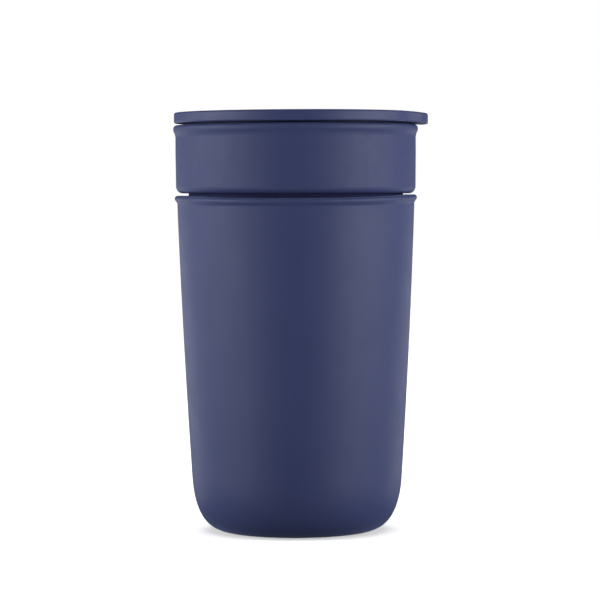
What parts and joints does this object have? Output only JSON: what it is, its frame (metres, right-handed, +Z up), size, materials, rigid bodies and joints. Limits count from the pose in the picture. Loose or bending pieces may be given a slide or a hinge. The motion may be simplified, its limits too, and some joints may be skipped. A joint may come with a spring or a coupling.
{
  "type": "travel tumbler",
  "caption": "Lidded ceramic travel cup in a silicone sleeve, with a press-fit drinking collar and a press-fit disc lid that pulls off by its tab.",
  "frame": {"origin": "centre of the flat base that the tumbler stands on", "axes": "+Z up along the cup's axis, +X towards the lid's pull tab"},
  "size_m": [0.0925, 0.0888, 0.1522],
  "materials": {
    "glazed_ceramic": "smooth dark blue-grey glaze",
    "sleeve_silicone": "matte navy silicone",
    "lid_silicone": "matte navy silicone",
    "seal_silicone": "satin dark navy silicone",
    "collar_plastic": "fine matte navy plastic"
  },
  "bodies": {
    "cup": {"ceramic_cup": "glazed_ceramic", "silicone_sleeve": "sleeve_silicone"},
    "collar_ring": {"collar_seal": "seal_silicone"},
    "collar": {"collar_shell": "collar_plastic", "collar_liner": "collar_plastic"},
    "lid_ring": {"lid_seal": "seal_silicone"},
    "lid": {"lid_core": "collar_plastic", "lid_cover": "lid_silicone"}
  },
  "joints": [
    {"name": "collar_lift", "type": "slide", "parent": "cup", "child": "collar_ring", "axis": [0, 0, 1], "range_m": [0, 0.045]},
    {"name": "collar_turn", "type": "hinge", "parent": "collar_ring", "child": "collar", "pos_m": [0, 0, 0.13], "axis": [0, 0, 1], "continuous": true},
    {"name": "lid_lift", "type": "slide", "parent": "collar", "child": "lid_ring", "axis": [0, 0, 1], "range_m": [0, 0.04]},
    {"name": "lid_turn", "type": "hinge", "parent": "lid_ring", "child": "lid", "pos_m": [0, 0, 0.144], "axis": [0, 0, 1], "continuous": true}
  ]
}
